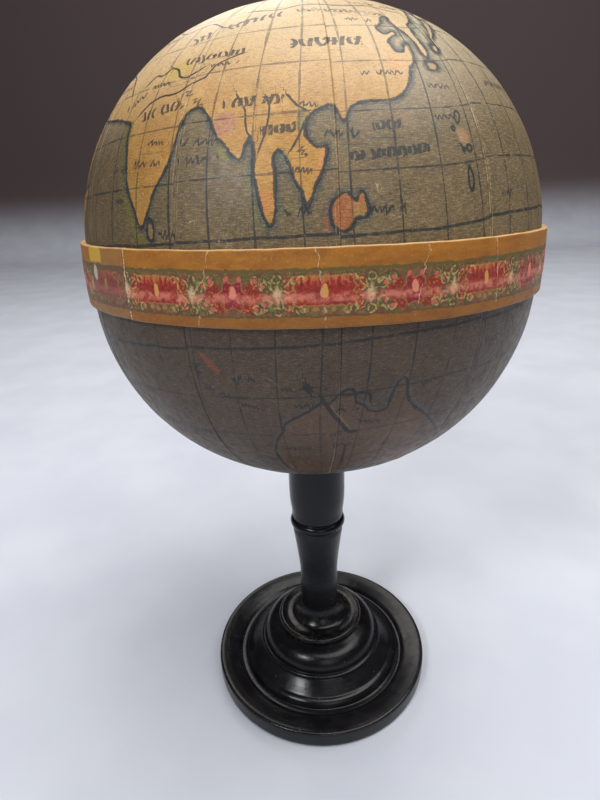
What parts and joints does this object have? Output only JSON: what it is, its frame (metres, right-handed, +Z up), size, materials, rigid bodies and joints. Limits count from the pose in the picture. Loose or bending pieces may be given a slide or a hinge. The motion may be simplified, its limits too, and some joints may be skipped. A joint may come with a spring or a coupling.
{
  "type": "terrestrial table globe",
  "caption": "Small table globe: papier-mache sphere in printed paper gores with an equator band, spinning on a spindle in a black turned wooden pillar and foot.",
  "frame": {"origin": "middle of the foot's underside, on the table", "axes": "+Z up along the spin axis, -Y towards the side shown in the reference view, +X to its right"},
  "size_m": [0.099, 0.099, 0.1742],
  "materials": {
    "north_map_paper": "printed and hand-coloured paper under aged yellow varnish",
    "south_map_paper": "printed and hand-coloured paper, darkened and dull",
    "band_paper": "colour-printed ornamental paper, cracked varnish",
    "papier_mache": "raw pulp board",
    "ebonised_wood": "turned, stained black, satin polish",
    "bare_wood": "raw turned wood",
    "brass": "aged brass",
    "steel": "drawn wire, dull",
    "leather": "plain hide"
  },
  "bodies": {
    "stand": {"foot": "ebonised_wood", "pillar": "ebonised_wood", "foot_screw": "steel", "spindle": "steel", "thrust_washer": "leather", "top_washer": "brass", "pole_button": "brass"},
    "globe": {"north_shell": "papier_mache", "south_shell": "papier_mache", "seam_hoop": "papier_mache", "wooden_core": "bare_wood", "north_bush": "brass", "south_bush": "brass", "equator_band": "band_paper", "north_polar_cap": "north_map_paper", "south_polar_cap": "south_map_paper", "gore_north_01": "north_map_paper", "gore_north_02": "north_map_paper", "gore_north_03": "north_map_paper", "gore_north_04": "north_map_paper", "gore_north_05": "north_map_paper", "gore_north_06": "north_map_paper", "gore_north_07": "north_map_paper", "gore_north_08": "north_map_paper", "gore_north_09": "north_map_paper", "gore_north_10": "north_map_paper", "gore_north_11": "north_map_paper", "gore_north_12": "north_map_paper", "gore_south_01": "south_map_paper", "gore_south_02": "south_map_paper", "gore_south_03": "south_map_paper", "gore_south_04": "south_map_paper", "gore_south_05": "south_map_paper", "gore_south_06": "south_map_paper", "gore_south_07": "south_map_paper", "gore_south_08": "south_map_paper", "gore_south_09": "south_map_paper", "gore_south_10": "south_map_paper", "gore_south_11": "south_map_paper", "gore_south_12": "south_map_paper"}
  },
  "joints": [
    {"name": "globe_spin", "type": "hinge", "parent": "stand", "child": "globe", "pos_m": [0, 0, 0.1226], "axis": [0, 0, 1], "continuous": true}
  ]
}
